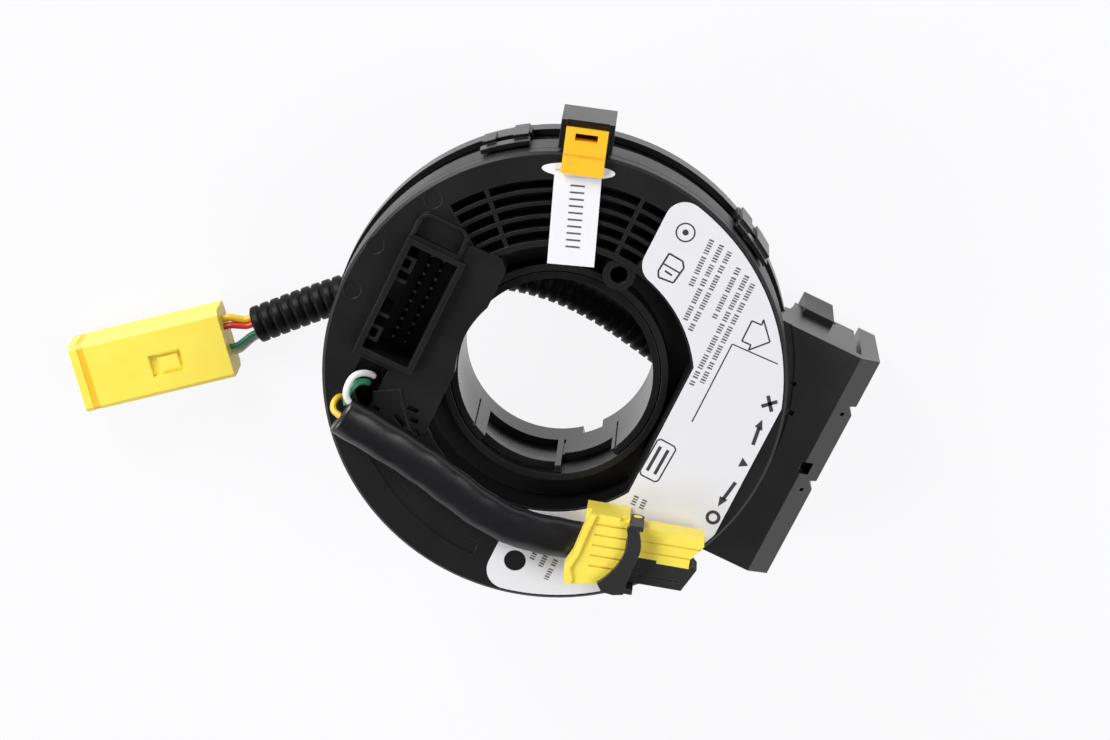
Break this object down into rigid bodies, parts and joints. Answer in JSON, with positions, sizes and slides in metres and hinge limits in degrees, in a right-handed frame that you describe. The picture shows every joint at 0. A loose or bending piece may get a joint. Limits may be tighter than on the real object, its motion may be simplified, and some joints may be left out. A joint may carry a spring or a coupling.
{
  "type": "steering clock spring",
  "caption": "Ring-shaped rotary connector for a steering column, with a turning rotor, an airbag lead, a harness housing and a corrugated pigtail with a plug.",
  "frame": {"origin": "on the turning axis, in the plane of the back cover's rear face", "axes": "+Z along the turning axis toward the driver, +Y toward the housing of the harness connectors"},
  "size_m": [0.1248, 0.1696, 0.054],
  "materials": {
    "black_plastic": "moulded black",
    "sleeve_plastic": "smooth dark grey",
    "label_film": "matt white film",
    "tag_paper": "plain white",
    "orange_plastic": "moulded orange",
    "yellow_plastic": "moulded yellow",
    "pin_metal": "tin or gold plated",
    "steel": "zinc plated",
    "shrink_sleeve": "semi-gloss shrink sleeve",
    "conduit_plastic": "corrugated, ribbed",
    "wire_red": "insulated wire",
    "wire_black": "insulated wire",
    "wire_green": "insulated wire",
    "wire_white": "insulated wire",
    "wire_yellow": "insulated wire",
    "ribbon_film": "polyester film"
  },
  "bodies": {
    "stator": {"back_cover": "sleeve_plastic", "block_cover": "black_plastic", "conduit": "conduit_plastic", "conduit_gland": "black_plastic", "connector_housing": "black_plastic", "cover_screws": "steel", "flat_cable": "ribbon_film", "harness_pins_a": "pin_metal", "harness_pins_b": "pin_metal", "harness_socket_a": "black_plastic", "harness_socket_b": "black_plastic", "plug_housing": "yellow_plastic", "plug_pins": "pin_metal", "plug_retainer": "orange_plastic", "stator_case": "black_plastic", "wire_black": "wire_black", "wire_green": "wire_green", "wire_red": "wire_red", "wire_white": "wire_white", "wire_yellow": "wire_yellow"},
    "rotor": {"rotor_disc": "black_plastic", "socket_pins": "pin_metal", "hub_sleeve": "sleeve_plastic", "label": "label_film", "tag": "tag_paper", "airbag_lead": "shrink_sleeve", "connector_block": "yellow_plastic", "connector_nose": "yellow_plastic", "connector_arm": "black_plastic", "lead_wire_white": "wire_white", "lead_wire_green": "wire_green", "lead_wire_yellow": "wire_yellow"},
    "clip": {"transport_clip": "orange_plastic"},
    "lever": {"connector_lever": "black_plastic"}
  },
  "joints": [
    {"name": "rotor_spin", "type": "hinge", "parent": "stator", "child": "rotor", "pos_m": [0, 0, 0], "axis": [0, 0, 1], "range_deg": [-900, 900]},
    {"name": "clip_slide", "type": "slide", "parent": "stator", "child": "clip", "axis": [0, 0, 1], "range_m": [0, 0.012]},
    {"name": "lever_swing", "type": "hinge", "parent": "rotor", "child": "lever", "pos_m": [0.02529, 0.03243, 0.0317], "axis": [-0.9588, -0.284, 0], "range_deg": [0, 35]}
  ]
}
